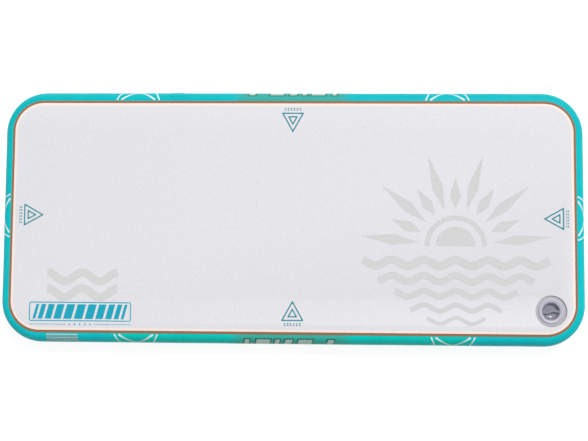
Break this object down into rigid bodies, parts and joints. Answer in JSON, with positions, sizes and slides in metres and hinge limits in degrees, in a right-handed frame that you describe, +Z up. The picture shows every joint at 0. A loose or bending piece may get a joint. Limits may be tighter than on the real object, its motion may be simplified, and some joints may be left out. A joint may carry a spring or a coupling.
{
  "type": "swim float mat",
  "caption": "Rectangular inflatable drop-stitch water mat with rounded corners, foam deck pad, coloured side band, thin edge line and a recessed quarter-turn inflation valve in a corner.",
  "frame": {"origin": "middle of the underside, where the side band's lower lap rests", "axes": "+X along the length towards the valve, +Y across to the long side farther from the valve, +Z up out of the deck"},
  "size_m": [2.134, 0.9282, 0.1086],
  "materials": {
    "panel_fabric": "satin coated fabric",
    "core_threads": "woven polyester",
    "side_band": "satin coated fabric, turquoise",
    "inner_band": "satin coated fabric",
    "deck_base_foam": "matte closed-cell foam, orange",
    "deck_foam": "matte embossed closed-cell foam, pale grey",
    "valve_patch": "satin coated fabric, mid grey",
    "valve_plastic": "satin moulded plastic",
    "cap_plastic": "semi-gloss moulded plastic",
    "stem_plastic": "satin moulded plastic",
    "seal_rubber": "matte rubber",
    "tether_rubber": "matte soft rubber",
    "spring_steel": "bright wire and sheet"
  },
  "bodies": {
    "root": {"top_sheet": "panel_fabric", "bottom_sheet": "panel_fabric", "drop_stitch_core": "core_threads", "inner_side_band": "inner_band", "outer_side_band": "side_band", "side_band_joint_strip": "side_band", "deck_pad_base": "deck_base_foam", "deck_pad": "deck_foam", "valve_patch": "valve_patch", "valve_backing_patch": "inner_band", "valve_gasket": "seal_rubber", "valve_nut": "valve_plastic", "valve_body": "valve_plastic", "stem_guide": "stem_plastic", "valve_spring": "spring_steel"},
    "tether": {"cap_tether": "tether_rubber"},
    "cap": {"valve_cap": "cap_plastic", "cap_o_ring": "seal_rubber"},
    "plunger": {"spring_washer": "spring_steel"},
    "stem": {"valve_stem": "stem_plastic", "valve_diaphragm": "seal_rubber", "diaphragm_clip": "stem_plastic"}
  },
  "joints": [
    {"name": "cap_turn", "type": "hinge", "parent": "root", "child": "tether", "pos_m": [0.933, -0.3329, 0.0892], "axis": [0, 0, 1], "range_deg": [0, 270]},
    {"name": "cap_lift", "type": "slide", "parent": "tether", "child": "cap", "axis": [0, 0, 1], "range_m": [0, 0.0271], "deforming": ["cap_tether"]},
    {"name": "button_press", "type": "slide", "parent": "root", "child": "plunger", "axis": [0, 0, -1], "range_m": [0, 0.006], "stiffness_N_per_m": 400, "springref_m": -0.005, "deforming": ["valve_spring"]},
    {"name": "button_turn", "type": "hinge", "parent": "plunger", "child": "stem", "pos_m": [0.933, -0.3329, 0.0878], "axis": [0, 0, 1], "range_deg": [0, 90]}
  ],
  "couplings": [
    {"joint": "cap_lift", "follows": "cap_turn", "m_per_rad": 0.0057296}
  ]
}
